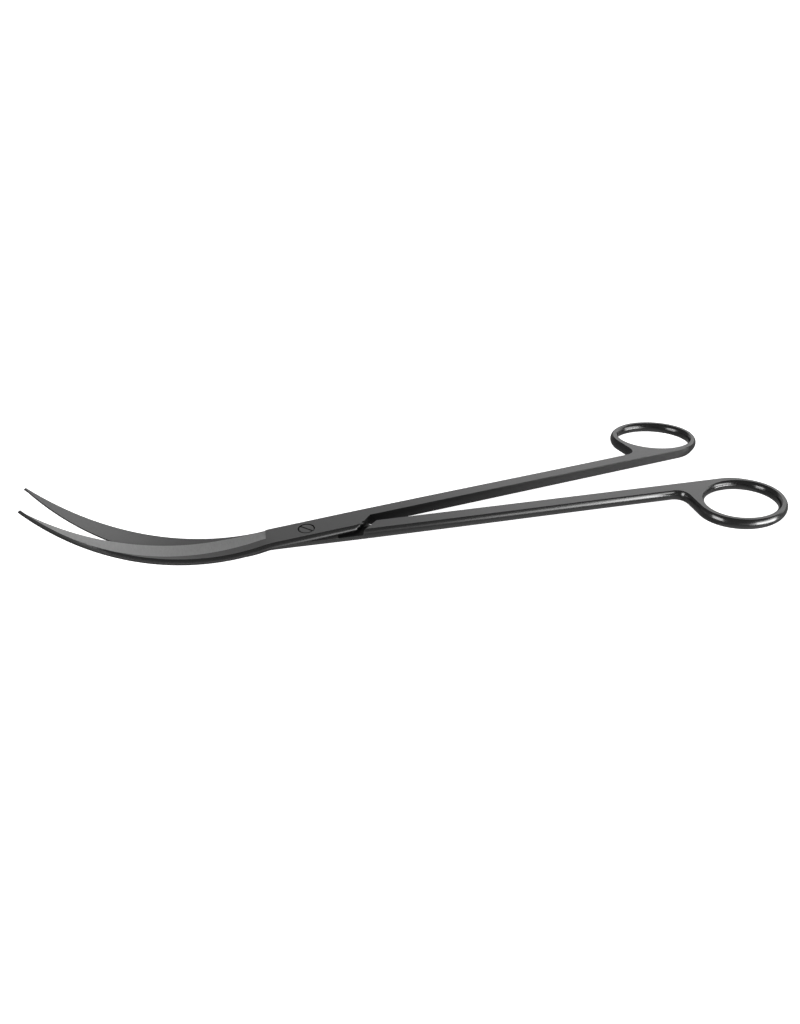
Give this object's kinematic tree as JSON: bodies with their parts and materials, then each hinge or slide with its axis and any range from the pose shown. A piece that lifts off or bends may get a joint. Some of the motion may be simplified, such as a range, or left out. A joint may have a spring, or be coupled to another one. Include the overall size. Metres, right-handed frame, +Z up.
{
  "type": "curved aquarium scissors",
  "caption": "Long black scissors with upswept curved blades, a screwed half-lap pivot, slim straight shanks and oval finger rings, for trimming aquarium plants.",
  "frame": {"origin": "on the pivot axis, level with the underside, where the screw's end is flush with the lower half", "axes": "+Z up along the pivot axis, out of the screw's slotted head; +X towards the finger rings, midway between the shanks; the blades point along -X and their tips curve up"},
  "size_m": [0.2493, 0.082, 0.0306],
  "materials": {
    "black_coated_steel": "satin black coating on ground flats, glossy on rounded sides and rings",
    "black_screw": "satin black coating"
  },
  "bodies": {
    "lower": {"lower_half": "black_coated_steel", "pivot_screw": "black_screw"},
    "upper": {"upper_half": "black_coated_steel"}
  },
  "joints": [
    {"name": "pivot", "type": "hinge", "parent": "lower", "child": "upper", "pos_m": [0, 0, 0.002], "axis": [0, 0, 1], "range_deg": [-9.1, 80]}
  ]
}
